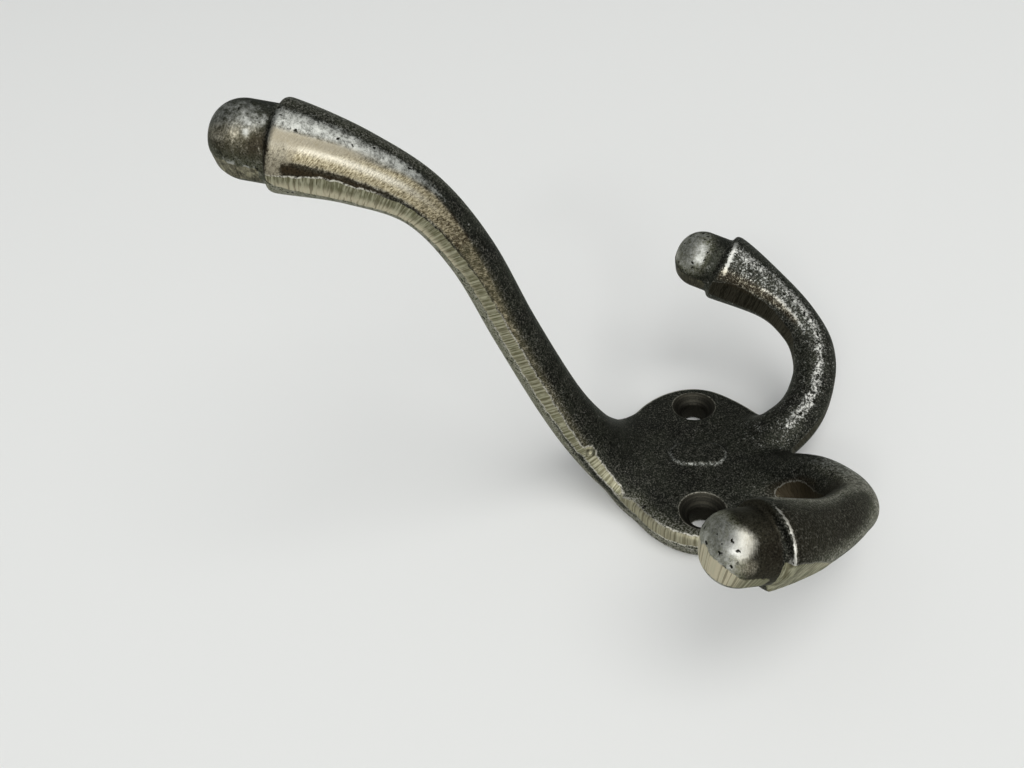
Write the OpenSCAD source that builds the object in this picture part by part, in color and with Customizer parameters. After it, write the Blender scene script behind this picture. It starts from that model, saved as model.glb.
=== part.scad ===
// Cast-iron triple coat hook: a back plate with one long hat arm above and two lower arms,
// cast in one piece and screwed flat to a wall.
// Frame: the plate's flat back is z = 0 and +Z points away from the wall. +Y is up the wall.
// The origin is on the back, midway between the two screw holes. Millimetres.

/* [Plate] */
// Thickness of the plate at its middle
plate_t = 7.1; // [6.6:0.1:8]
// Height of the mould's parting line above the back, on the plate's edge
parting_z = 2.8; // [2:0.1:3.5]
// How far the edge draws in from the parting line to the back
back_draft = 0.6; // [0.4:0.1:1.2]

/* [Screw holes] */
// Distance between the two hole centres
hole_pitch = 34.8; // [33:0.1:36]
// Diameter of the hole for the screw's shank
shank_d = 6; // [5:0.1:6.4]
// Diameter of the countersink where it meets the front
sink_d = 10.6; // [9.6:0.1:11.4]

/* [Boss] */
// Length of the raised oval pad at the plate's middle, along the wall's upright
boss_l = 13; // [10:0.5:15]
// Width of the raised oval pad
boss_w = 7; // [5:0.5:9]
// Height of the pad above the plate
boss_h = 0.6; // [0.4:0.1:1]

/* [Arms] */
// Radius of the round part of the lower arms
lower_r = 5.1; // [4.8:0.1:5.4]
// Radius of the round part of the hat arm
hat_r = 5.1; // [4.8:0.1:5.4]
// Radius of the collar at the end of each lower arm
lower_collar_r = 8.6; // [8.4:0.1:9]
// Radius of the collar at the end of the hat arm
hat_collar_r = 9; // [8.8:0.1:9.4]
// Radius of the acorn on each lower arm
lower_acorn_r = 7.3; // [7:0.1:7.8]
// Radius of the acorn on the hat arm
hat_acorn_r = 7.7; // [7.3:0.1:8.2]

/* [Hidden] */

iron = "#3b3a38";
through = 0.5;             // how far a cutter passes a face
crown_at_holes = 0.2;      // how much lower the front is at the holes than at its middle
big = 200;                 // half the size of the block that trims the back flat
section_sides = 28;        // points round an arm's section
rings_per_span = 4;        // sections between two route points
bead_r = 2;                // radius of the collar's rounded rim
boss_root = 1;             // how deep the boss is sunk into the plate

// Right half of the plate's outline at the parting line, from the top to the notch below.
half_outline = [
    [5, 23], [11, 19.2], [15.4, 15.4], [19.8, 11.8], [23.4, 7], [25.2, 1.2],
    [24.4, -4.6], [21, -10], [16.2, -15], [11, -18.6], [4.5, -20]
];

// Stations of the arms: [x, y, z, half width across the plate's plane, half depth].
// The last one is the middle of the acorn and only sets the direction of the collar.
hat_route = [
    [0, 3, 3.5, 15, 3.2], [0, 13.5, 4, 14.4, 3.8], [0, 20.6, 7.6, 11.4, 5], [0, 26.2, 14.4, 7.8, 5.6],
    [0, 32.3, 25.8, 5.7, 5.4], [0, 40.2, 45.6, hat_r, hat_r], [0, 47.1, 64.6, hat_r, hat_r],
    [0, 55.4, 77.6, 5.6, 5.6], [0, 67.1, 85.1, 7.3, 7.3], [0, 79.3, 89.9, 8.8, 8.8],
    [0, 86.2, 91.6, 8.8, 8.8]
];
lower_route = [
    [4, -6, 3.4, 9, 3.2], [6, -16.2, 5.2, 7.2, 4.8], [10.6, -24.3, 9.9, 5.5, 5.4],
    [18.3, -28.4, 14.4, lower_r, lower_r], [25.4, -28.8, 18, lower_r, lower_r],
    [31, -26.1, 21.7, lower_r, lower_r], [37.6, -20.4, 25.2, 5.8, 5.8],
    [45, -9.3, 29.5, 8.4, 8.4], [47.2, -3.3, 31.1, 8.4, 8.4]
];

// Smooth curve through the rows of a list: the row at position s, where s counts rows.
function blend(a, b, c, d, t) =
    0.5 * (2 * b + (c - a) * t + (2 * a - 5 * b + 4 * c - d) * t * t + (3 * b - a - 3 * c + d) * t * t * t);
function row_at(rows, s) =
    let (last = len(rows) - 1, i = min(floor(s), last - 1),
         before = i > 0 ? rows[i - 1] : 2 * rows[0] - rows[1],
         after = i + 2 <= last ? rows[i + 2] : 2 * rows[last] - rows[last - 1])
    blend(before, rows[i], rows[i + 1], after, s - i);
function unit(v) = v / norm(v);
function place(row) = [row[0], row[1], row[2]];

// One oval section of an arm, square to its route at position s
function section(route, s) =
    let (row = row_at(route, s),
         along = unit(place(row_at(route, s + 0.02)) - place(row_at(route, max(s - 0.02, 0)))),
         across = unit(cross(along, [0, 0, 1])), up = cross(across, along))
    [for (k = [0:section_sides - 1]) let (a = 360 * k / section_sides)
        place(row) + row[3] * cos(a) * across + row[4] * sin(a) * up];

// Skin over a stack of closed loops that all have the same number of points. Each end is
// closed by a fan about its loop's middle, so a notched outline closes too.
function middle(loop) = [for (axis = [0:2]) sum([for (p = loop) p[axis]]) / len(loop)];
function sum(list) = list * [for (v = list) 1];
module skin(loops) {
    sides = len(loops[0]);
    count = len(loops) * sides;
    top = count - sides;
    polyhedron(
        points = concat([for (loop = loops) each loop], [middle(loops[0]), middle(loops[len(loops) - 1])]),
        faces = [
            for (k = [0:sides - 1]) let (m = (k + 1) % sides)
                each [[count, m, k], [count + 1, top + k, top + m]],
            for (j = [0:len(loops) - 2], k = [0:sides - 1])
                let (m = (k + 1) % sides, low = j * sides, high = low + sides)
                each [[low + k, low + m, high + k], [low + m, high + m, high + k]]
        ]);
}

module arm(route) {
    spans = len(route) - 2;
    skin([for (j = [0:spans * rings_per_span]) section(route, j / rings_per_span)]);
}

// Half profile of a collar's rounded rim and the acorn beyond it, turned about the arm's end.
// reach is the distance from the collar to the middle of the acorn.
function end_profile(collar_r, acorn_r, reach) =
    let (start = -asin((reach - bead_r) / acorn_r))
    concat(
        [[0, -bead_r]],
        [for (a = [-90:18:90]) [collar_r - bead_r + bead_r * cos(a), bead_r * sin(a)]],
        [for (i = [0:12]) let (a = start + (90 - start) * i / 12)
            [i < 12 ? acorn_r * cos(a) : 0, reach + acorn_r * sin(a)]]);

// Collar and acorn at the end of an arm, along the line from its collar to its acorn
module acorn_end(route, collar_r, acorn_r) {
    collar = place(route[len(route) - 2]);
    heading = place(route[len(route) - 1]) - collar;
    translate(collar)
        rotate([0, acos(heading[2] / norm(heading)), atan2(heading[1], heading[0])])
            rotate_extrude($fn = 64) polygon(end_profile(collar_r, acorn_r, norm(heading)));
}

// The plate's outline as one closed loop, drawn in towards its middle and set at a height
function plate_loop(inset, z) =
    let (right = [for (s = [0:0.25:len(half_outline) - 1]) row_at(half_outline, s)],
         left = [for (i = [len(right) - 1:-1:0]) [-right[i][0], right[i][1]]],
         shrink = 1 - inset / 20)
    [for (p = concat(left, right)) [p[0] * shrink, p[1] * shrink, z]];

// Crowned slab: drafted below the parting line, with a soft front edge
module plate() {
    skin([
        plate_loop(back_draft, -through), plate_loop(back_draft, 0), plate_loop(0, parting_z),
        plate_loop(0.2, plate_t - 1.4), plate_loop(0.9, plate_t - 0.8),
        plate_loop(4, plate_t - 0.3), plate_loop(10, plate_t)
    ]);
}

// Hole for a countersunk wood screw, with a 90 degree seat that ends at the plate's front
module screw_hole() {
    front_z = plate_t - crown_at_holes;
    seat_h = (sink_d - shank_d) / 2;
    translate([0, 0, -through]) cylinder(h = plate_t + 2 * through, d = shank_d, $fn = 48);
    translate([0, 0, front_z - seat_h]) cylinder(h = seat_h, d1 = shank_d, d2 = sink_d, $fn = 64);
    translate([0, 0, front_z]) cylinder(h = 2 * through, d = sink_d, $fn = 64);
}

// Plain raised oval where the plate is widest
module boss() {
    straight = boss_l - boss_w;
    translate([0, 0, plate_t - boss_root]) linear_extrude(boss_root + boss_h) {
        square([boss_w, straight], center = true);
        for (side = [-1, 1]) translate([0, side * straight / 2]) circle(d = boss_w, $fn = 48);
    }
}

module lower_arm() {
    arm(lower_route);
    acorn_end(lower_route, lower_collar_r, lower_acorn_r);
}

module hook_casting() {
    color(iron)
        difference() {
            intersection() {
                union() {
                    plate();
                    boss();
                    arm(hat_route);
                    acorn_end(hat_route, hat_collar_r, hat_acorn_r);
                    lower_arm();
                    mirror([1, 0, 0]) lower_arm();
                }
                translate([-big, -big, 0]) cube([2 * big, 2 * big, big]);
            }
            for (side = [-1, 1]) translate([side * hole_pitch / 2, 0, 0]) screw_hole();
        }
}

hook_casting();
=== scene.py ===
"""Cast-iron triple coat hook lying on its back on a pale table.

Frame: the plate's flat back is z = 0, +Z points away from the wall, +Y is up the wall, and
the origin is on the back midway between the two screw holes. The casting is drawn here in
millimetres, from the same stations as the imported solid, and made into metres with MM.
"""

import math
from functools import partial

import bpy
import numpy as np
from mathutils import Matrix, Vector


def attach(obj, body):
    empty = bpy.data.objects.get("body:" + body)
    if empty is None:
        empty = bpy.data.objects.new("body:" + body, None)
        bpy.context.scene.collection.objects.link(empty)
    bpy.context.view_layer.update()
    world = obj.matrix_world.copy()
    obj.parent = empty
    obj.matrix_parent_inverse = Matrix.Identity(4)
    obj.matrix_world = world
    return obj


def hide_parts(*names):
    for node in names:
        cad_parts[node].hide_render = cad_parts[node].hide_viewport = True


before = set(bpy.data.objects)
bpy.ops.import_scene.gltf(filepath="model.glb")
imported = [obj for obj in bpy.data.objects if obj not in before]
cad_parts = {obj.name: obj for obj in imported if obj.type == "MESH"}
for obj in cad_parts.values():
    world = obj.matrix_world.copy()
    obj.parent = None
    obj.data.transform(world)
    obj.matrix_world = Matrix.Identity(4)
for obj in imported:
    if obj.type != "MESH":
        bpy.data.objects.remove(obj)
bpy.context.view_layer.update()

MM = 0.001

# ---------------------------------------------------------------- the casting's drawing, mm
PLATE_T, PARTING_Z, CROWN = 7.1, 2.8, 0.8
CROWN_WIDE = 10  # the plate's front falls to its edge over this width
DRAFT_FRONT, DRAFT_BACK = 0.05, 0.22  # how much the edge draws in, a mm from the parting line
HOLE_PITCH, SHANK_D, SINK_D, CROWN_AT_HOLES = 34.8, 6.0, 10.6, 0.2
SINK_CLEAR = 1.5  # the countersink's cutter stands this far out of the front
BOSS_L, BOSS_W, BOSS_H = 13.0, 7.0, 0.6
LOWER_R, HAT_R = 5.05, 5.1

# Soft corners: where parts meet, and the edges.
LOWER_FILLET, ROOT_FILLET, ACORN_FILLET, SMALL_FILLET = 4.0, 3.0, 0.6, 0.3
PLATE_EDGE, BOSS_EDGE, BACK_EDGE, HOLE_EDGE, FLAT_EDGE = 1.2, 0.4, 0.3, 0.15, 0.08

# Right half of the plate's outline at the parting line, from the top to the notch below.
HALF_OUTLINE = [
    (5, 23), (11, 19.2), (15.4, 15.4), (19.8, 11.8), (23.4, 7), (25.2, 1.2),
    (24.4, -4.6), (21, -10), (16.2, -15), (11, -18.6), (4.5, -20),
]
# Stations of the arms: x, y, z, half width across the plate's plane, half depth. The first
# one is sunk into the plate, so that the root rises out of it. The last one is the middle of
# the acorn and only sets the direction of the collar.
HAT_ROUTE = [
    (0, 3, 1.4, 14.5, 2.6), (0, 13.5, 3.8, 14, 3.8), (0, 20.6, 7.6, 11.2, 5),
    (0, 26.2, 14.4, 7.8, 5.6), (0, 32.3, 25.8, 5.7, 5.4), (0, 40.2, 45.6, HAT_R, HAT_R),
    (0, 47.1, 64.6, HAT_R, HAT_R), (0, 55.4, 77.6, 5.6, 5.6), (0, 67.1, 85.1, 7.3, 7.3),
    (0, 79.3, 89.9, 9, 9), (0, 86.2, 91.6, 9, 9),
]
LOWER_ROUTE = [
    (4, -6, 1.6, 8.5, 2.6), (6, -16.2, 5.2, 7, 4.8), (10.6, -24.3, 9.9, 5.5, 5.4),
    (18.3, -28.4, 14.4, LOWER_R, LOWER_R), (25.4, -28.8, 18, LOWER_R, LOWER_R),
    (31, -26.1, 21.7, LOWER_R, LOWER_R), (37.6, -20.4, 25.2, 5.8, 5.8),
    (45, -9.3, 29.5, 8.6, 8.6), (47.2, -3.3, 31.1, 8.6, 8.6),
]
TIP_SHY = 0.1  # what the wheel took off the acorn's tip
NECK, ACORN_ROOT = 1.2, 1  # from the collar to the acorn's flats, and the acorn inside the collar
FACET_STEP = 18  # degrees between two touches of the wheel round an acorn
FACET_SWAY, FACET_SPREAD = 3, 0.08  # unevenness of the touches: degrees, and share of the width
NIB_AT, NIB_R = (-7.8, 25.0, 15.5), 0.95  # stub of a casting nib beside the parting line

# The ground band on the plate's edge: its lower border as rows of the run and the height, its
# upper border, and how far it comes in over the front.
EDGE_BAND_LOW = [(-7, 3.9), (0, 3.3), (8, 3.6), (13, 4.5)]
EDGE_BAND_TOP, EDGE_BAND_IN = 6.35, 0.8
# The run goes on from one part to the next: up the hat arm from 0 at its root, down round the
# plate from where the hat arm leaves it, and on along the lower arms.
PLATE_RUN_AT_TOP, LOWER_RUN_AT_ROOT = 23, -26.5

VOXEL = 0.5  # spacing of the grid that the casting's skin is drawn on
GRID_LOW, GRID_HIGH = (-56.0, -35.5, -1.0), (56.0, 95.5, 101.0)  # it clears the casting all round
SPAN_STEPS, ROUTE_STEP = 32, 0.4  # curve steps between stations, then even steps along an arm
FAR_OFF = 99.0  # farther off than any part of the casting's own section


def smooth_rows(rows, per_span):
    """Smooth curve through the rows, with per_span steps between two of them."""
    rows = np.array(rows, float)
    rows = np.vstack([2 * rows[0] - rows[1], rows, 2 * rows[-1] - rows[-2]])
    t = np.arange(per_span)[:, None] / per_span
    out = []
    for a, b, c, d in zip(rows, rows[1:], rows[2:], rows[3:]):
        out.append(0.5 * (2 * b + (c - a) * t + (2 * a - 5 * b + 4 * c - d) * t**2
                          + (3 * b - a - 3 * c + d) * t**3))
    return np.vstack(out + [rows[-2]])


def unit(v):
    return v / np.linalg.norm(v, axis=-1, keepdims=True)


def step(low, high, value):
    """0 below low, 1 above high, smooth between."""
    t = np.clip((value - low) / (high - low), 0, 1)
    return t * t * (3 - 2 * t)


def join(a, b, fillet):
    """Union of two distances with a soft fillet."""
    h = np.maximum(fillet - np.abs(a - b), 0) / fillet
    return np.minimum(a, b) - h * h * fillet / 4


def cut(a, b, edge):
    """What lies inside both, with a soft edge."""
    return -join(-a, -b, edge)


class Arm:
    """An oval bar swept along its stations, that flares to a rim and ends in an acorn.

    side is -1 for an arm mirrored to -X. acorn_r is the acorn's radius and round_tip how round
    its tip is. rim is how far the collar stands over the acorn, rounding how round its edge is,
    and lean how much shorter it is towards the angle lean_to.

    The wheel that took the parting line off left flats. ground_near and ground_far say where,
    on the side towards -X and on the other: rows of the run past the collar, and the two angles
    that the flat lies between, 0 on the side and 90 on the front. face is how far from the bar's
    middle the wheel stopped. acorn_ground has rows of the angle round the acorn, -90 on the side
    towards -X and 0 on the tip, the height of the flats' middle, and half their width.
    """

    def __init__(self, name, route, side, acorn_r, round_tip, ground_near, ground_far,
                 acorn_ground, rim=2.1, rounding=1.5, lean=0.0, lean_to=25, face=FAR_OFF):
        rows = smooth_rows(route, SPAN_STEPS)[: SPAN_STEPS * (len(route) - 2) + 1]
        rows = rows * [side, 1, 1, 1, 1]
        run = np.concatenate(
            [[0], np.cumsum(np.linalg.norm(np.diff(rows[:, :3], axis=0), axis=1))])
        even = np.linspace(0, run[-1], int(run[-1] / ROUTE_STEP))
        rows = np.stack([np.interp(even, run, rows[:, i]) for i in range(5)], 1)
        self.name, self.mid, self.half = name, rows[:, :3], rows[:, 3:]
        self.run, self.length = even, run[-1]
        self.along = unit(np.gradient(self.mid, even, axis=0))
        self.across = unit(np.cross(self.along, [0, 0, 1]))
        self.up = np.cross(self.across, self.along)
        self.slope = np.gradient(self.half, even, axis=0)
        self.acorn_r, self.round_tip, self.face = acorn_r, round_tip, face
        self.rim, self.rounding = rim, rounding
        self.lean = lean * math.cos(math.radians(lean_to)), lean * math.sin(math.radians(lean_to))
        self.ground = [np.array(ground_near, float).T, np.array(ground_far, float).T]
        self.collar = self.mid[-1]
        heading = np.array(route[-1][:3]) * [side, 1, 1] - self.collar
        reach = np.linalg.norm(heading)
        self.heading, self.tip = heading / reach, reach + acorn_r - TIP_SHY
        self.end_across = unit(np.cross(self.heading, [0, 0, 1]))
        self.end_up = np.cross(self.end_across, self.heading)
        self.facets = []
        angles, heights, wides = np.array(acorn_ground, float).T
        for i in range(int((angles[-1] - angles[0]) / FACET_STEP) + 1):
            turned = angles[0] + FACET_STEP * i + FACET_SWAY * math.sin(7 * i + acorn_r)
            height = np.interp(turned, angles, heights) / acorn_r
            wide = np.interp(turned, angles, wides)
            wide = wide * (1 + FACET_SPREAD * math.sin(5 * i + acorn_r))
            level, turned = math.sqrt(1 - height**2), math.radians(turned)
            way = np.array([math.cos(turned) * level, math.sin(turned) * level, height])
            reach = ((acorn_r - round_tip) * math.hypot(way[1], way[2])
                     + (self.tip - round_tip) * abs(way[0]) + round_tip)
            self.facets.append((way, reach - wide**2 / 2 / acorn_r))

    def field(self, p, marks=False):
        """Distance to the arm. With marks, also where on it each point is."""
        # from the nearest point of the arm's middle line: w along it, u across and v up
        near = np.argmin((self.mid**2).sum(1) - 2 * p @ self.mid.T, axis=1)
        d = p - self.mid[near]
        w = (d * self.along[near]).sum(1)
        u, v = (d * self.across[near]).sum(1), (d * self.up[near]).sum(1)
        half = self.half[near] + self.slope[near] * np.clip(w, -0.3, 0.3)[:, None]
        a, b = half[:, 0], half[:, 1]
        k = np.maximum(np.hypot(u / a, v / b), 1e-6)  # 1 on the oval's edge
        bar = k * (k - 1) / np.maximum(np.hypot(u / a**2, v / b**2), 1e-9)
        bar = np.maximum(bar, -np.minimum(a, b))

        # the wheel's flat cuts the oval straight across between its two borders
        past = self.run[near] + w - self.length
        (at, low, high), (at2, low2, high2) = self.ground
        low = np.where(u < 0, np.interp(past, at, low), np.interp(past, at2, low2))
        high = np.where(u < 0, np.interp(past, at, high), np.interp(past, at2, high2))
        middle = np.radians(low + high) / 2
        stop = np.minimum(np.cos(np.radians(high - low) / 2), np.where(u < 0, self.face / a, 1))
        flat = np.abs(u) / a * np.cos(middle) + v / b * np.sin(middle) - stop
        flat = flat / np.hypot(np.cos(middle) / a, np.sin(middle) / b)
        bar = cut(bar, flat, FLAT_EDGE)
        rim = self.rim + self.lean[0] * u / a - self.lean[1] * v / b
        bar = cut(bar, np.where(near == 0, -w, w - rim), self.rounding)

        # the acorn is a turned drum with a round tip, ground in many small flats
        q = p - self.collar
        local = np.stack([q @ self.heading, q @ self.end_across, q @ self.end_up], 1)
        axial, side, tall = local.T
        whole = rounded_drum(np.hypot(side, tall), axial, self.acorn_r, self.tip, self.round_tip)
        facet = np.max([local @ way - reach for way, reach in self.facets], axis=0)
        facet = np.where(axial > self.rim + NECK, facet, -FAR_OFF)
        acorn = cut(whole, np.maximum(facet, -axial - ACORN_ROOT), FLAT_EDGE)
        f = join(bar, acorn, ACORN_FILLET)
        if not marks:
            return f
        end = step(self.rim - 0.3, self.rim + 0.3, axial)
        around = np.arctan2(v / b, -u / a)
        off_middle = np.abs(np.arctan2(v / b, np.abs(u) / a) - middle)
        inside = (np.arccos(stop) - off_middle) * np.minimum(a, b)
        inside_acorn = np.maximum(facet - np.minimum(whole, 0), -3) * self.acorn_r / 4
        along = self.acorn_r * np.arctan2(side, axial - self.tip + self.acorn_r)
        return (f, inside * (1 - end) + inside_acorn * end,
                past * (1 - end) + axial * end,
                np.degrees(around * (1 - end) + np.arctan2(tall, -side) * end),
                (past + self.length) * (1 - end) + along * end, end)


def rounded_drum(r, axial, radius, half, edge):
    """Distance to a turned drum with rounded rims."""
    x, y = r - (radius - edge), np.abs(axial) - (half - edge)
    return np.hypot(np.maximum(x, 0), np.maximum(y, 0)) + np.minimum(np.maximum(x, y), 0) - edge


right_outline = smooth_rows(HALF_OUTLINE, 6)
OUTLINE = np.vstack([right_outline, (right_outline * [-1, 1])[::-1]])
OUTLINE_RUN = np.concatenate(
    [[0], np.cumsum(np.linalg.norm(np.diff(right_outline, axis=0), axis=1))])


def outline_distance(p):
    """Distance to the plate's outline in plan, negative inside, and the nearest run along it."""
    a, b = OUTLINE, np.roll(OUTLINE, -1, axis=0)
    best = np.full(len(p), 1e9)
    run = np.zeros(len(p))
    sign = np.ones(len(p))
    runs = np.concatenate([OUTLINE_RUN, OUTLINE_RUN[::-1]])
    for i in range(len(a)):
        e, w = b[i] - a[i], p - a[i]
        t = np.clip(w @ e / (e @ e), 0, 1)
        d = ((w - t[:, None] * e) ** 2).sum(1)
        closer = d < best
        best = np.where(closer, d, best)
        run = np.where(closer, runs[i] + t * (runs[(i + 1) % len(runs)] - runs[i]), run)
        # each side of the outline that passes beside the point turns it in or out
        above, below = p[:, 1] >= a[i, 1], p[:, 1] < b[i, 1]
        turn = e[0] * w[:, 1] > e[1] * w[:, 0]
        sign = np.where((above & below & turn) | (~above & ~below & ~turn), -sign, sign)
    return sign * np.sqrt(best), run


PLAIN_GROUND = [(-125, -12, 12), (-30, -12, 12), (-4, -18, 4), (3, -18, 0)]
HAT_GROUND = [
    (-125, -8, 8), (-110, 2, 19), (-104, 1, 22), (-96.4, -6, 22), (-95.6, -10, 6), (-84, -16, 8),
    (-83.2, -19, 9), (-60, -20, 9), (-45, -23, 5), (-38, -31, 3), (-20, -36, 1), (-8, -36, -1),
    (-4, -33, -7), (0, -26, -11), (3, -16, -14),
]
FAR_GROUND = [
    (-71, -12, 12), (-30, -10, 10), (-25, -24, 20), (-5, -24, 22), (0, -22, 8), (3, -12, -4),
]
NEAR_GROUND = [(-71, -8, 8), (-45, -60, -52), (-16, -60, -58), (-10, -25, -12), (3, -25, -12)]
LOOP_GROUND = [
    (-71, -8, 4), (-56, -10, 6), (-54.5, -18, 24), (-51, -22, 30), (-46, -22, 22), (-41, -14, 8),
    (3, -12, 4),
]
ARMS = [
    Arm("hat", HAT_ROUTE, side=1, acorn_r=7.6, round_tip=7.0,
        ground_near=HAT_GROUND, ground_far=PLAIN_GROUND,
        acorn_ground=[(-90, -3.6, 2.2), (-40, -2.7, 1.9), (20, -2.0, 1.6), (90, -1.5, 1.8)]),
    Arm("far", LOWER_ROUTE, side=1, acorn_r=7.2, round_tip=6.5,
        ground_near=FAR_GROUND, ground_far=PLAIN_GROUND,
        acorn_ground=[(-90, -3.1, 2.0), (-40, -2.6, 1.7), (20, -1.7, 1.2), (90, -1.0, 1.8)],
        lean=1.15),
    Arm("near", LOWER_ROUTE, side=-1, acorn_r=7.1, round_tip=6.4,
        ground_near=NEAR_GROUND, ground_far=LOOP_GROUND,
        acorn_ground=[(-108, -2.2, 1.9), (-70, -2.0, 2.1), (-35, -1.4, 2.4), (0, -1.0, 2.6),
                      (25, -1.5, 2.2), (90, -1, 1.8)],
        rounding=0.7, lean=0.6, lean_to=-70, face=6.8),
]


def boss_field(p):
    """Distance in plan to the oval pad at the plate's middle."""
    straight = (BOSS_L - BOSS_W) / 2
    return np.hypot(p[:, 0], np.maximum(np.abs(p[:, 1]) - straight, 0)) - BOSS_W / 2


def plate_field(p):
    """Distance to the plate, and its ground edge, the run round it and the way inward."""
    d, run = outline_distance(p[:, :2])
    z = p[:, 2]
    run = PLATE_RUN_AT_TOP - run
    wall = np.maximum(d + (z - PARTING_Z) * DRAFT_FRONT, d + (PARTING_Z - z) * DRAFT_BACK)
    front = PLATE_T - CROWN * np.clip(1 + d / CROWN_WIDE, 0, 1) ** 2
    f = cut(wall, z - front, PLATE_EDGE)
    pad = cut(boss_field(p), z - PLATE_T - BOSS_H, BOSS_EDGE)
    low = np.interp(run, *np.array(EDGE_BAND_LOW, float).T)
    edge = np.minimum(np.minimum(z - low, EDGE_BAND_TOP - z), 1.2 * (d + EDGE_BAND_IN))
    return join(f, pad, SMALL_FILLET), edge, run, d


def hole_field(p):
    """Distance to a countersunk screw hole, negative inside it."""
    r = np.hypot(np.abs(p[:, 0]) - HOLE_PITCH / 2, p[:, 1])
    front = PLATE_T - CROWN_AT_HOLES
    seat = r - SINK_D / 2 + np.maximum(front - p[:, 2], 0)
    sunk = np.minimum(r - SHANK_D / 2, seat * math.sqrt(0.5))
    return np.maximum(sunk, p[:, 2] - front - SINK_CLEAR)


def nib_field(p):
    """Distance to the stub of the casting nib."""
    return np.linalg.norm(p - NIB_AT, axis=1) - NIB_R


def casting(p):
    """Distance to the casting's skin."""
    plate = plate_field(p)[0]
    hat, far, near = [arm.field(p) for arm in ARMS]
    body = join(join(join(far, near, LOWER_FILLET), hat, ROOT_FILLET), plate, ROOT_FILLET)
    body = join(body, nib_field(p), SMALL_FILLET)
    return cut(cut(body, -hole_field(p), HOLE_EDGE), -p[:, 2], BACK_EDGE)


def bell(value, low, high, soft):
    """1 between low and high, fading to 0 over soft to each side."""
    return step(low - soft, low + soft, value) * (1 - step(high - soft, high + soft, value))


def strip(past, around, soft, rows):
    """1 between two borders that run along an arm: rows of the run, low and high angle."""
    at, low, high = np.array(rows, float).T
    inside = np.minimum(around - np.interp(past, at, low), np.interp(past, at, high) - around)
    return step(-soft, soft, inside) * step(-1, 1, past - at[0]) * step(-0.5, 0.5, at[-1] - past)


def spot(p, at, radius):
    """1 at a place, fading to 0 at radius from it."""
    return 1 - step(0.2 * radius, 1.1 * radius, np.linalg.norm(p - at, axis=1))


# Spots rubbed on the acorns: where, and radius.
HAT_CHAFED = [
    ([-4.5, 83.5, 97.2], 1.5), ([-6.0, 83.8, 95.8], 1.2), ([-7.4, 87.9, 90.4], 1.5),
    ([-7.3, 85.2, 89.4], 1.3),
]
NEAR_SHINE, NEAR_BLUSH = ([-51.3, -2.9, 37.2], 4.6), ([-53.7, -4.4, 33.8], 3.4)


# The skin of each part, in finish_marks' columns from bare on. On an arm, past is the run past
# the collar, around the angle from the side towards -X to the front, and end is 1 on the acorn.
def hat_skin(p, past, around, end):
    """Silver rubbed bare along the front, then cream, a golden stripe and a dark line to the
    ground band.
    """
    # The golden stripe is rubbed bronze-tinted metal that also carries a painted warm reflection;
    # a painted highlight line runs along it, and the dark line below it is a painted dark
    # reflection.
    bar = 1 - end
    silver = step(-36, -22, past) * strip(past, around, 9, [
        (-36, 54, 62), (-24, 48, 73), (-12, 46, 76), (2, 46, 77)])
    # golden stripe: rubbed bronze-tinted metal with a painted warm reflection laid over it
    gold = strip(past, around, 6, [
        (-64, 8, 20), (-48, 6, 32), (-38, 5, 42), (-28, 5, 54), (-22, 9, 52), (-18, 10, 48),
        (-1.8, 10, 46)])
    cream = strip(past, around, 6, [
        (-26, 48, 60), (-14, 38, 54), (-4, 32, 48), (-2.2, 0, 48), (-1, -12, 48), (1.7, -22, 50)])
    smeared = bell(past, -4.4, 4, 1.4) * bell(around, -14, 30, 7) * bar
    cream = cream * step(-24, -8, past)
    # painted highlight line: polished metal, laid and faded where the light's reflection runs
    # along the stripe
    line = strip(past, around, 5, [(-34, 27, 36), (-24, 27, 38), (-1.8, 27, 36)])
    line = line * step(-32, -20, past)
    grainy = strip(past, around, 12, [(-112, 14, 16), (-85, 8, 24), (-60, 8, 30), (-38, 6, 40)])
    # painted dark reflection: a dark brownish line under the golden stripe, where something dark
    # is mirrored in the rubbed metal
    painted_dark_reflection = strip(past, around, 6, [(-30, 2, 3), (-20, -1, 7), (-14, -1, 9), (-1.2, -7, 8)])
    painted_dark_reflection = painted_dark_reflection * bar * step(-26, -17, past)
    under = bell(around, -75, -22, 8) * bar
    acorn = strip(past, around, 16, [(2, 50, 70), (6, 20, 92), (9, 12, 98), (16, 12, 98)]) * end
    chafed = np.maximum.reduce([spot(p, at, radius) for at, radius in HAT_CHAFED])
    bare = np.maximum.reduce([
        0.74 * silver * bar, (0.42 + 0.4 * step(-42, -20, past)) * gold * bar,
        (0.78 + 0.3 * step(22, 36, around)) * cream * bar, 1.05 * line * bar,
        0.32 * grainy, 0.52 * acorn, 0.26 * end, 0.9 * chafed])
    bare = bare * (1 - 0.88 * painted_dark_reflection)
    cream = cream * (1 - 0.35 * smeared)
    bronze = np.maximum.reduce([
        gold, 0.85 * line, painted_dark_reflection, 0.9 * grainy, 0.7 * smeared,
        0.6 * end * bell(around, 4, 46, 12)])
    bronze = bronze * (1 - chafed)
    fresh = 1 - 0.55 * end
    polish_and_highlight = line * bar
    top = bell(around, 84, 150, 10) * step(-45, -20, past) * bar
    pale = (0.3 * acorn + 0.5 * grainy + 1.6 * under + 0.5 * top
            + 0.6 * bell(around, -90, 5, 20) * end)
    fine = 1 - 0.4 * silver - 0.7 * end - 0.55 * gold - 0.3 * cream - 0.2 * painted_dark_reflection - 0.35 * under
    coarse = 0.8 - 0.5 * cream - 0.25 * end - 0.2 * gold - 0.3 * silver
    lit = bar * np.maximum(
        0.6 * step(-50, -60, past), step(-22, -15, past) * step(-14, -8, around))
    return [bare, bronze, fresh, polish_and_highlight, cream, pale, fine, coarse, lit]


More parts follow.
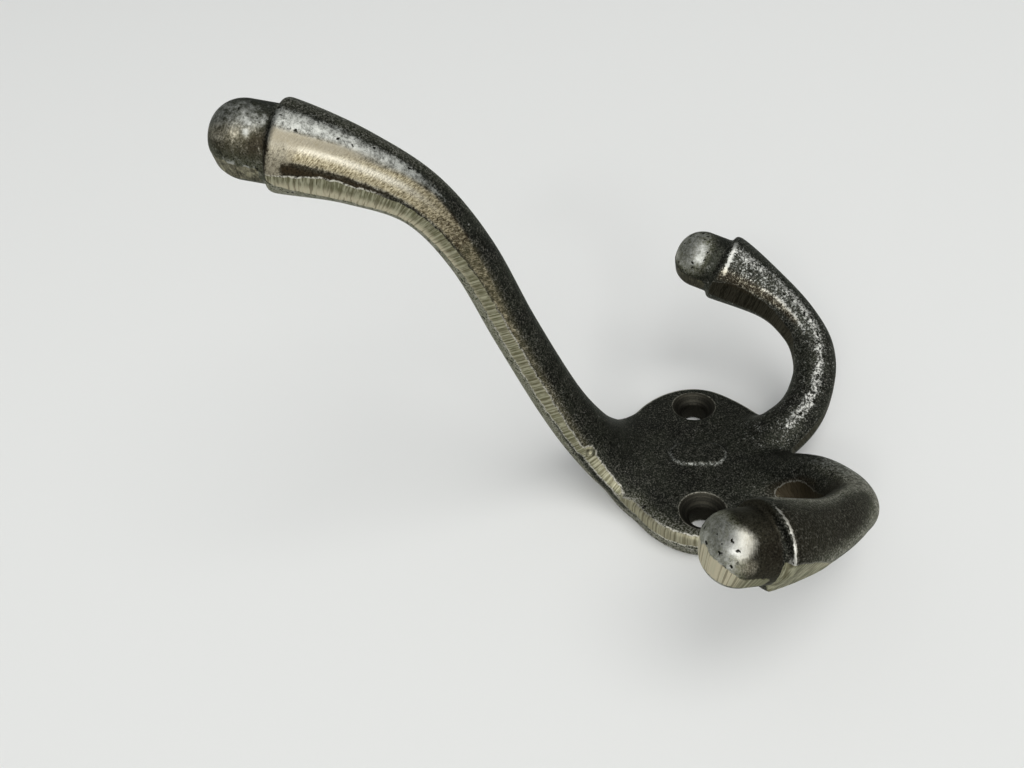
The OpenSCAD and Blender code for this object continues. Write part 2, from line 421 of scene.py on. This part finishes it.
def far_skin(p, past, around, end):
    """A speckled streak of bare metal up the outside of the bend, and a bright collar."""
    bar = 1 - end
    streak = strip(past, around, 7, [
        (-54, 110, 130), (-46, 102, 124), (-37, 92, 112), (-26, 62, 106), (-20, 48, 102),
        (-10, 32, 90), (0, 24, 86)])
    upper = strip(past, around, 6, [
        (-54, 106, 130), (-46, 96, 124), (-37, 86, 112), (-30, 78, 105), (-26, 78, 102),
        (-20, 80, 98), (-10, 70, 90), (0, 66, 86)])
    lower = strip(past, around, 5, [(-27, 54, 62), (-18, 47, 60), (-11, 40, 48)])
    rim = np.interp(around, [30, 89], [-1.3, 0.4])
    ring = bell(past - rim, -0.45, 0.5, 0.3) * bell(around, 26, 92, 8) * bar
    acorn = bell(past, 6, 30, 2.5) * bell(around, -2, 105, 12) * end
    bare = np.maximum.reduce([
        0.3 * streak * bar, 0.52 * upper * bar, 0.74 * lower * bar, 1.15 * ring,
        0.8 * bell(past, 5.6, 8.8, 1.1) * bell(around, 22, 74, 12) * end, 0.56 * acorn,
        0.2 * end])
    bronze = 0.7 * strip(past, around, 8, [(-24, 44, 56), (-12, 22, 46), (0, 14, 38)])
    bare = np.maximum(bare, 0.34 * bronze * bar)
    fresh = 0.06 + 0.2 * end
    cream, pale = 0 * past, 1.3 * acorn
    polish_and_highlight = 0.6 * np.maximum(upper, lower) + 0.5 * ring
    fine = 1.8 - 1.5 * ring - 1.4 * end
    coarse = 0.8 + 0.5 * upper - 0.6 * ring - 0.3 * acorn
    lit = 0.05 * bar
    return [bare, bronze, fresh, polish_and_highlight, cream, pale, fine, coarse, lit]


def near_skin(p, past, around, end):
    """Dark, with a bright collar, a grey bloom along the front, a painted sheen along its top edge
    and a polished acorn.
    """
    bar = 1 - end
    crown = past - np.interp(around, [14, 96], [0.3, 0.0])
    ridge = bell(crown, 1.5, 1.9, 0.12) * bell(around, 14, 96, 8) * bar
    shine = spot(p, *NEAR_SHINE) * end
    blush = spot(p, *NEAR_BLUSH) * end
    tip = bell(past, 9.4, 30, 1.6) * end
    core = strip(past, around, 20, [(-26, 50, 80), (-20, 20, 98), (-8, 12, 100), (2, 20, 96)])
    # painted sheen: a lighter grey stripe along the arm's top edge, where it catches the light
    painted_crest_sheen = strip(past, around, 4, [
        (-36, 98, 108), (-24, 104, 114), (-12, 106, 116), (0, 112, 126)])
    speckled = bell(past, -48, -24, 6) * bell(around, -30, 110, 15) * (1 - core)
    bare = np.maximum.reduce([
        1.2 * ridge, 0.95 * shine, 0.5 * blush, 0.6 * tip, 0.44 * speckled])
    bronze = np.maximum.reduce([
        0.6 * blush, 0.4 * core, 0.35 * bell(past, -36, -18, 6) * bar, 0.4 * end * (1 - tip),
        0.6 * bell(past, -57, -40, 3) * step(138, 150, np.abs(around)) * bar])
    fresh = 0.85 * (1 - step(-16, -22, past)) + 0.15 * end
    polish_and_highlight = 0.45 * shine + ridge
    cream = 0 * past
    pale = (1 - core) * bell(past, -44, -4, 5) * bell(around, -10, 120, 12) * bar
    pale = pale * (1 - 0.4 * step(-20, -30, past))
    pale = np.maximum.reduce([pale, 1.2 * painted_crest_sheen * bar, 1.7 * tip])
    fine = 1 - ridge - 0.65 * end - 0.2 * blush
    coarse = 0.8 - 0.8 * ridge - 0.55 * end
    lit = 0.25 * bar * bell(past, -13, 1, 2) + 0.3 * bell(past, -58, -40, 4)
    return [bare, bronze, fresh, polish_and_highlight, cream, pale, fine, coarse, lit]


def plate_skin(p, run, inward):
    """Dark, rubbed on the oval pad's edge, with a grey bloom towards the ground edge."""
    none = 0 * run
    pad_edge = bell(boss_field(p), -0.35, 0.25, 0.25)
    pad_edge = pad_edge * step(PLATE_T - 1, PLATE_T - 0.2, p[:, 2])
    near_side = step(3, -3, p[:, 0])
    brow = step(-1.0, -0.3, inward) * bell(run, -9, 3, 4) * near_side
    grey = np.maximum(
        0.5 * bell(run, -8, 12, 2) * step(-4.5, -1, inward), step(3.2, 2.6, p[:, 2]))
    bare, pale = 0.5 * pad_edge + 0.25 * brow, 1.2 * grey * near_side
    lit = 0.35 + 0.65 * bell(run, -9, 3, 3)
    return [bare, none, 1 + none, none, none, pale, 1 + none, 0.6 + none, lit]


SKINS = {"hat": hat_skin, "far": far_skin, "near": near_skin}
FINISH = ("band", "worn", "rubbed", "broken")  # attributes of three columns each
PART_BLEND = 0.5  # width in which one part's finish gives way to the next one's
NIB_GROUND = 0.5  # the wheel's mark reaches this far round the nib's stub
NO_SEAT = -3  # well outside a screw seat


def finish_marks(p):
    """What the skin is at each point, for the material to draw.

    Columns: inside the ground band, run along it, screw seat, bare, bronze, freshly ground,
    polished, cream, pale grain, how finely and how coarsely the wear breaks up, light borders.
    On the hat arm, bare, bronze and polished also carry a painted warm reflection, a painted dark
    reflection and a painted highlight line; on the near arm's top edge pale grain carries a
    painted sheen.
    """
    plate, edge, run, inward = plate_field(p)
    arms = [arm.field(p, marks=True) for arm in ARMS]
    distances = np.stack([plate] + [arm[0] for arm in arms])
    share = np.exp(-(distances - distances.min(0)) / PART_BLEND)
    share /= share.sum(0)
    none = 0 * run
    marks = share[0] * np.stack([edge, run, none, *plate_skin(p, run, inward)])
    for part, arm, (_, inside, past, around, along, end) in zip(share[1:], ARMS, arms):
        along = along if arm.name == "hat" else LOWER_RUN_AT_ROOT - along
        marks += part * np.stack(
            [inside, along, none, *SKINS[arm.name](p, past, around, end)])
    marks[0] = np.maximum(marks[0], NIB_GROUND - nib_field(p))
    from_hole = np.hypot(np.abs(p[:, 0]) - HOLE_PITCH / 2, p[:, 1])
    off_back = p[:, 2] > BACK_EDGE + 0.1
    marks[2] = np.maximum(np.where(off_back, SINK_D / 2 - from_hole, NO_SEAT), NO_SEAT)
    return marks.T


def in_chunks(function, p, size=40000):
    """The function at all the points, a part at a time so that memory stays small."""
    return np.concatenate([function(p[i:i + size]) for i in range(0, len(p), size)])


def skin_of(field, low, high, pitch, coarse=4, sure=2.6):
    """Quad skin of a distance field: one point in each cell that the skin crosses.

    The field is worked out on a grid coarse times wider, and again at every grid point that may
    be within sure grid steps of the skin.
    """
    count = (np.ceil((high - low) / pitch / coarse).astype(int)) * coarse + 1
    axes = [low[i] + pitch * np.arange(count[i]) for i in range(3)]
    rough = [a[::coarse] for a in axes]
    grid = np.stack(np.meshgrid(*rough, indexing="ij"), -1).reshape(-1, 3)
    values = in_chunks(field, grid).reshape([len(a) for a in rough])
    # fill in between, and put the true distance near the skin
    for i in range(3):
        at = np.arange(count[i]) / coarse
        lo = np.minimum(at.astype(int), len(rough[i]) - 2)
        t = (at - lo).reshape([-1 if k == i else 1 for k in range(3)])
        values = np.take(values, lo, i) * (1 - t) + np.take(values, lo + 1, i) * t
    close = np.argwhere(np.abs(values) < sure * pitch)
    points = low + close * pitch
    values[tuple(close.T)] = in_chunks(field, points)
    # the cells whose corners aren't all on the same side
    inside = values < 0
    crossing = np.zeros([n - 1 for n in count], bool)
    corner = [slice(0, -1), slice(1, None)]
    first = inside[:-1, :-1, :-1]
    for i in range(2):
        for j in range(2):
            for k in range(2):
                crossing |= inside[corner[i], corner[j], corner[k]] != first
    cells = np.argwhere(crossing)
    index = np.full(crossing.shape, -1, np.int64)
    index[tuple(cells.T)] = np.arange(len(cells))
    # a cell's point is the middle of where the skin crosses the cell's edges
    total, hits = np.zeros((len(cells), 3)), np.zeros(len(cells))
    for axis in range(3):
        others = [k for k in range(3) if k != axis]
        for i in range(2):
            for j in range(2):
                a = cells.copy()
                a[:, others[0]] += i
                a[:, others[1]] += j
                b = a.copy()
                b[:, axis] += 1
                va, vb = values[tuple(a.T)], values[tuple(b.T)]
                crossed = (va < 0) != (vb < 0)
                t = np.where(crossed, va / np.where(crossed, va - vb, 1), 0)
                where = a.astype(float)
                where[:, axis] += t
                total += where * crossed[:, None]
                hits += crossed
    points = low + total / hits[:, None] * pitch
    # a quad for each grid edge that the skin crosses, from the four cells round it
    quads = []
    for axis in range(3):
        u, v = [(axis + 1) % 3, (axis + 2) % 3]
        low_end = [slice(None)] * 3
        high_end = [slice(None)] * 3
        low_end[axis], high_end[axis] = slice(0, -1), slice(1, None)
        edge = np.argwhere(inside[tuple(low_end)] != inside[tuple(high_end)])
        edge = edge[(edge[:, u] > 0) & (edge[:, v] > 0)]
        outward = inside[tuple(edge.T)]
        du, dv = np.eye(3, dtype=int)[u], np.eye(3, dtype=int)[v]
        ring = np.stack([index[tuple((edge - a * du - b * dv).T)]
                         for a, b in ((1, 1), (0, 1), (0, 0), (1, 0))], 1)
        quads.append(np.where(outward[:, None], ring, ring[:, ::-1]))
    return points, np.concatenate(quads)


def slope_of(field, p, reach=0.05):
    """Direction in which the field grows, and its value."""
    value = in_chunks(field, p)
    slope = np.stack(
        [in_chunks(field, p + reach * np.eye(3)[i]) - in_chunks(field, p - reach * np.eye(3)[i])
         for i in range(3)], 1) / (2 * reach)
    return value, slope


def settle(field, points, quads, rounds, evening=0.6, least_slope=0.25, longest=0.3):
    """Evens the points out along the skin and drops each one back onto it.

    evening is how much of the way to its neighbours' middle a point goes in a round, and
    longest the most that it drops.
    """
    ends = np.concatenate([quads[:, [i, (i + 1) % 4]] for i in range(4)])
    ends = np.concatenate([ends, ends[:, ::-1]])
    degree = np.bincount(ends[:, 0], minlength=len(points))[:, None]
    for _ in range(rounds):
        mean = np.stack(
            [np.bincount(ends[:, 0], points[ends[:, 1], i], len(points)) for i in range(3)], 1)
        points = points * (1 - evening) + mean / degree * evening
        value, slope = slope_of(field, points)
        size = (slope**2).sum(1)
        move = -(value / np.maximum(size, least_slope))[:, None] * slope
        points = points + np.clip(move, -longest, longest)
    return points


points, quads = skin_of(casting, np.array(GRID_LOW), np.array(GRID_HIGH), VOXEL)
points = settle(casting, points, quads, rounds=2)
points[:, 2] = np.maximum(points[:, 2], 0)  # the back stays flat
mesh = bpy.data.meshes.new("casting_skin")
mesh.vertices.add(len(points))
mesh.vertices.foreach_set("co", (points * MM).ravel())
mesh.loops.add(quads.size)
mesh.loops.foreach_set("vertex_index", quads.ravel().astype(np.int32))
mesh.polygons.add(len(quads))
mesh.polygons.foreach_set("loop_start", np.arange(0, quads.size, 4, dtype=np.int32))
mesh.polygons.foreach_set("use_smooth", np.ones(len(quads), bool))
mesh.update(calc_edges=True)
mesh.validate()
marks = in_chunks(finish_marks, points).astype(np.float32)
for name, columns in zip(FINISH, np.split(marks, len(FINISH), axis=1)):
    layer = mesh.attributes.new(name, "FLOAT_VECTOR", "POINT")
    layer.data.foreach_set("vector", columns.ravel())
casting_piece = bpy.data.objects.new("casting_skin", mesh)
bpy.context.scene.collection.objects.link(casting_piece)
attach(casting_piece, "root")
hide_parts("hook_casting")

# ---------------------------------------------------------------- table, camera and light
CAMERA_AT = Vector((-149.4, 14.55, 158.08)) * MM
CAMERA_TO = Vector((34.83, 48.93, 0)) * MM
CAMERA_ROLL, CAMERA_LENS, CAMERA_SENSOR = -0.1323, 30.65, 36
TABLE_HALF, TABLE_Z = 3.0, -0.0001  # metres: half its side, and its top, a hair under the back
# Lamps are disks turned to the hook: name, place and width in metres, watts.
LAMPS = [
    ("daylight", (-4.8, 0.0, 3.4), 6.5, 206),
    ("window", (-3.7, 1.15, 2.5), 0.7, 17),
    ("overhead", (-0.8, -1.8, 5.2), 5.0, 134),
]
ROOM_COLOUR, ROOM_STRENGTH = (0.9, 0.93, 0.95, 1), 0.38

table_mesh = bpy.data.meshes.new("table")
table_mesh.from_pydata(
    [(x * TABLE_HALF, y * TABLE_HALF, TABLE_Z) for x, y in ((-1, -1), (1, -1), (1, 1), (-1, 1))],
    [], [(0, 1, 2, 3)])
table = bpy.data.objects.new("table", table_mesh)
bpy.context.scene.collection.objects.link(table)


def colour(hex_code):
    """sRGB hex to linear RGBA."""
    parts = [int(hex_code[i:i + 2], 16) / 255 for i in (1, 3, 5)]
    return [c / 12.92 if c <= 0.04045 else ((c + 0.055) / 1.055) ** 2.4 for c in parts] + [1]


def add(tree, kind, inputs=None, out=0, **settings):
    """Adds a node and gives its output. An input is a value, or the output that feeds it."""
    made = tree.nodes.new("ShaderNode" + kind)
    for name, value in settings.items():
        setattr(made, name, value)
    for name, value in (inputs or {}).items():
        if isinstance(value, bpy.types.NodeSocket):
            tree.links.new(value, made.inputs[name])
        else:
            made.inputs[name].default_value = value
    return made.outputs[out]


def material(name):
    """A new material, its node tree and its shader."""
    made = bpy.data.materials.new(name)
    made.use_nodes = True
    return made, made.node_tree, made.node_tree.nodes["Principled BSDF"]


# Sockets that go by number, as their names repeat.
A, B, C = range(3)  # Math and Vector Math: A times B, and C added to it
VALUE, FROM, TO, LEAST, MOST = range(5)  # Map Range
SHARE, UNDER, OVER, MIXED = 0, 6, 7, 2  # Mix of colours, and what comes out
RELIEF = 0.12  # depth of the sand grain, mm


def worn_cast_iron():
    """Grey cast iron, sand cast, blackened and waxed, then handled for years.

    The sand leaves a fine dark grain. Wear has bared the metal where hands and coats rub, the
    grinding wheel has left a pale band with fine cross marks along the mould's parting line,
    and the screw seats are turned and have dulled.
    """
    made, tree, shader = material("blackened_sand_cast_iron")
    node = partial(add, tree)
    place = node("TexCoord", out="Object")

    fields = {}
    for name in FINISH:
        read = node("Attribute", attribute_name=name, out="Vector")
        fields[name] = [node("SeparateXYZ", {"Vector": read}, out=i) for i in range(3)]
    inside, run, seat = fields["band"]
    bare, bronze, fresh = fields["worn"]
    polish_and_highlight, cream, pale = fields["rubbed"]
    fine, coarse, lit = fields["broken"]
    product, weighed = {"operation": "MULTIPLY"}, {"operation": "MULTIPLY_ADD"}
    smooth = {"interpolation_type": "SMOOTHSTEP"}

    # sand grain, the blotches of the blacking, and how the wear breaks up over the grain: size
    # in mm, detail and roughness. The grain is a little coarser than moulding sand, to show.
    grain, blotch, breakup, speck = [
        node("TexNoise", {
            "Vector": place, "Scale": 1 / (size * MM), "Detail": detail, "Roughness": rough})
        for size, detail, rough in ((0.36, 2, 0.6), (7, 4, 0.6), (1.5, 5, 0.8), (0.5, 3, 0.75))]

    # fine and coarse wheel marks lie across the band, darker and lighter stretches follow one
    # another along it, and handling has combed the bronze aslant: width in mm, coarser than the
    # wheel's grit so that it shows, how much it changes across the band, detail and lean
    drawn = []
    for size, stretch, detail, lean in (
            (0.32, 0.1, 3, 0), (0.6, 0.12, 1, 0), (3.2, 0.1, 2, 0), (0.3, 0.45, 3, -0.42)):
        leaning = node("Math", {A: inside, B: lean, C: run}, **weighed)
        across = node("Math", {A: inside, B: stretch}, **product)
        drawn.append(node("TexNoise", {
            "Vector": node("CombineXYZ", {"X": leaning, "Y": across}), "Scale": 1 / size,
            "Detail": detail, "Roughness": 0.7}, noise_dimensions="2D"))
    scratch, rung, bay, comb = drawn

    # the ground band has a ragged border, with a light burr along it in places
    ragged = inside
    for noise in (breakup, bay):
        ragged = node("Math", {A: noise, B: 0.9, C: ragged}, **weighed)
    ground = node("MapRange", {VALUE: ragged, FROM: 0.82, TO: 1.0}, **smooth)
    burr = lit
    for noise, low, high in ((ragged, 0.48, 0.72), (ragged, 1.02, 0.88), (speck, 0.38, 0.54)):
        part = node("MapRange", {VALUE: noise, FROM: low, TO: high}, **smooth)
        burr = node("Math", {A: burr, B: part}, **product)

    # soot stays in patches where the ground metal is not fresh
    stale = node("Math", {A: fresh, B: 0.8}, operation="SUBTRACT")
    patchy = node("Math", {A: breakup, B: 1.6, C: stale}, **weighed)
    kept = node("MapRange", {VALUE: patchy, FROM: 0.2, TO: 0.8}, **smooth)

    # bare metal shows where the wear, swung up and down by the noises, is deep enough
    wear = bare
    for noise, swing, amount in (
            (speck, 1.9, fine), (breakup, 1.9, coarse), (comb, 0.55, bronze)):
        centred = node("Math", {A: noise, B: swing, C: -swing / 2}, **weighed)
        wear = node("Math", {A: centred, B: amount, C: wear}, **weighed)
    rubbed = node("MapRange", {VALUE: wear, FROM: 0.24, TO: 0.86}, **smooth)

    # the screw seats are turned, and their rims are worn light in places, partly a painted edge
    # highlight
    machined = node("MapRange", {VALUE: seat, FROM: -0.03, TO: 0.06}, **smooth)
    rim = node("MapRange", {VALUE: seat, FROM: -0.28, TO: -0.05}, **smooth)
    for noise, low, high in ((seat, 0.06, -0.03), (speck, 0.38, 0.55)):
        part = node("MapRange", {VALUE: noise, FROM: low, TO: high}, **smooth)
        rim = node("Math", {A: rim, B: part}, **product)
    turned = node("TexNoise", {"W": seat, "Scale": 1 / 0.35, "Detail": 2.0}, noise_dimensions="1D")

    # gas pits: ragged holes up to 0.8 mm across, in about every other cell of 1.5 mm
    stir = node(
        "TexNoise", {"Vector": place, "Scale": 1 / (0.9 * MM), "Detail": 2.0}, out="Color")
    crooked = node("VectorMath", {A: stir, B: (1.2 * MM, 1.2 * MM, 1.2 * MM), C: place}, **weighed)
    cells = {"Vector": crooked, "Scale": 1 / (1.5 * MM)}
    pick = node("SeparateXYZ", {"Vector": node("TexVoronoi", cells, out="Color")})
    pit = node("MapRange", {VALUE: cream, FROM: 0.8, TO: 0.1}, **smooth)
    for value, low, high in (
            (node("TexVoronoi", cells), 0.29, 0.17), (pick, 0.46, 0.5), (bronze, 0.6, 0.1)):
        part = node("MapRange", {VALUE: value, FROM: low, TO: high}, **smooth)
        pit = node("Math", {A: pit, B: part}, **product)

    # the blacking's own grain: light tops where it is dry, dark hollows
    raised = node("Math", {A: pale, B: 0.06, C: grain}, **weighed)
    glint = node("MapRange", {VALUE: raised, FROM: 0.5, TO: 0.64, MOST: 0.75}, **smooth)
    for value, low, high, least in (
            (breakup, 0.36, 0.6, 0.25), (bronze, 1.0, 0.2, 0.1), (fine, 0.3, 1.0, 0.25)):
        part = node("MapRange", {VALUE: value, FROM: low, TO: high, LEAST: least})
        glint = node("Math", {A: glint, B: part}, **product)
    hollow = node("MapRange", {VALUE: grain, FROM: 0.47, TO: 0.36, MOST: 0.7}, **smooth)

    # coats of colour, each laid over the one before it by its own amount
    coats = {}
    for name, base, layers in (
            ("light", "#75736a", [(pale, "#c9c6bd")]),
            ("skin", "#242521", [
                (node("MapRange", {VALUE: blotch, FROM: 0.35, TO: 0.65}), "#33352d"),
                (node("Math", {A: bronze, B: 0.75}, **product), "#382d1e"),
                (node("Math", {A: pale, B: 0.55}, **product), "#6b6c54"),
                (glint, "light"), (hollow, "#151512")]),
            ("silver", "#6e6f69", [
                (node("MapRange", {VALUE: breakup, FROM: 0.3, TO: 0.66}), "#bcbdb6")]),
            # the golden coat of bronze-tinted metal; on the hat arm's stripe it also paints a warm
            # reflection
            ("gold", "#70664b", [
                (node("MapRange", {VALUE: comb, FROM: 0.35, TO: 0.65}), "#beb498")]),
            # the shine coat paints polished metal, and on the hat arm also the painted highlight
            # line
            ("shine", "#b7b5af", [(bronze, "#dcd7c8")]),
            ("brushed", "#857e6c", [
                (node("MapRange", {VALUE: comb, FROM: 0.25, TO: 0.75}), "#918b7b"),
                (node("MapRange", {VALUE: breakup, FROM: 0.5, TO: 0.3, MOST: 0.5}, **smooth),
                 "#7d745e")]),
            ("metal", "silver", [
                (bronze, "gold"), (node("Math", {A: polish_and_highlight, B: 0.6}, **product), "shine"),
                (cream, "brushed")]),
            ("filed", "#595741", [
                (node("MapRange", {VALUE: scratch, FROM: 0.33, TO: 0.67}), "#98967f"),
                (node("MapRange", {VALUE: bay, FROM: 0.45, TO: 0.62, MOST: 0.4}, **smooth),
                 "#66674b"),
                (node("Math", {A: pale, B: 0.55}, **product), "#c4bca4"),
                (node("MapRange", {VALUE: rung, FROM: 0.5, TO: 0.34, MOST: 0.6}, **smooth),
                 "#5b5641"),
                (node("MapRange", {VALUE: rung, FROM: 0.54, TO: 0.66, MOST: 0.55}, **smooth),
                 "#b4b29b")]),
            ("sooty", "#38352a", [
                (node("MapRange", {VALUE: scratch, FROM: 0.4, TO: 0.6}), "#47443a"),
                (node("Math", {A: bronze, B: 0.8}, **product), "#4c402e"),
                (node("MapRange", {VALUE: scratch, FROM: 0.5, TO: 0.4, MOST: 0.6}), "#1d1c16")]),
            ("ground", "sooty", [(kept, "filed")]),
            ("seat", "#2a2924", [
                (node("MapRange", {VALUE: turned, FROM: 0.4, TO: 0.65}), "#403e36")]),
            ("tone", "skin", [
                (rubbed, "metal"), (pit, "#1e1e19"), (ground, "ground"), (burr, "#cfccbf"),
                (machined, "seat"), (rim, "#8d8a7e")])):
        coat = coats[base] if base in coats else colour(base)
        for amount, over in layers:
            over = coats[over] if over in coats else colour(over)
            coat = node(
                "Mix", {SHARE: amount, UNDER: coat, OVER: over}, out=MIXED, data_type="RGBA")
        coats[name] = coat
    tree.links.new(coats["tone"], shader.inputs["Base Color"])

    # waxed grain scatters the light, rubbed metal is smoother, the polished tip smoothest
    rough = node("Math", {A: grain, B: 0.2, C: 0.42}, **weighed)
    rough = node("Math", {A: rubbed, B: -0.06, C: rough}, **weighed)
    gloss = node("Math", {A: polish_and_highlight, B: rubbed}, **product)
    rough = node("Math", {A: gloss, B: -0.14, C: rough}, **weighed)
    tree.links.new(rough, shader.inputs["Roughness"])
    shader.inputs["Metallic"].default_value = 1.0
    shader.inputs["Specular Tint"].default_value = colour("#dddfda")  # wax dulls the low shine

    # relief: sand grain where it is not worn or ground off, then pits, the combed bronze, wheel
    # marks and turning rings, each with its height against the grain's
    part = node("Math", {A: rubbed, B: 0.55}, **product)
    worked = node("Math", {A: part, B: ground}, operation="MAXIMUM")
    sandy = node("Math", {A: worked, B: -1.0, C: 1.15}, **weighed)
    part = node("MapRange", {VALUE: fine, FROM: 0.3, TO: 1.0, LEAST: 0.35})
    sandy = node("Math", {A: sandy, B: part}, **product)
    height = node("Math", {A: grain, B: sandy}, **product)
    combed = node("Math", {A: bronze, B: rubbed}, **product)
    for where, pattern, amount in (
            (rubbed, pit, -0.6), (combed, comb, 0.35), (ground, scratch, 0.35),
            (ground, rung, 0.3), (machined, turned, 0.06)):
        part = node("Math", {A: where, B: pattern}, **product)
        height = node("Math", {A: part, B: amount, C: height}, **weighed)
    bump = node("Bump", {"Height": height, "Strength": 1.0, "Distance": RELIEF * MM})
    tree.links.new(bump, shader.inputs["Normal"])
    return made


mesh.materials.append(worn_cast_iron())
# white painted board: an even, matt floor that only takes the hook's soft shadow
paint, _, paint_shader = material("matt_white_board")
paint_shader.inputs["Base Color"].default_value = colour("#e6e6e3")
paint_shader.inputs["Roughness"].default_value = 0.6
table_mesh.materials.append(paint)

camera = bpy.data.objects.new("camera", bpy.data.cameras.new("camera"))
bpy.context.scene.collection.objects.link(camera)
camera.data.sensor_width, camera.data.lens = CAMERA_SENSOR, CAMERA_LENS
camera.data.clip_start = 0.01
forward = (CAMERA_TO - CAMERA_AT).normalized()
right = forward.cross(Vector((0, 0, 1))).normalized()
top = right.cross(forward)
level = Matrix((right, top, -forward)).transposed()
camera.matrix_world = Matrix.Translation(CAMERA_AT) @ (
    level @ Matrix.Rotation(CAMERA_ROLL, 3, "Z")).to_4x4()
bpy.context.scene.camera = camera

for name, at, size, power in LAMPS:
    light = bpy.data.lights.new(name, "AREA")
    light.shape, light.size, light.energy = "DISK", size, power
    lamp = bpy.data.objects.new(name, light)
    lamp.location = at
    lamp.rotation_euler = (-Vector(at)).to_track_quat("-Z", "Y").to_euler()
    lamp.visible_camera = False
    bpy.context.scene.collection.objects.link(lamp)
world = bpy.data.worlds.new("studio")
bpy.context.scene.world = world
world.use_nodes = True
room = world.node_tree.nodes["Background"]
room.inputs["Color"].default_value = ROOM_COLOUR
room.inputs["Strength"].default_value = ROOM_STRENGTH
bpy.context.scene.view_settings.view_transform = "Standard"
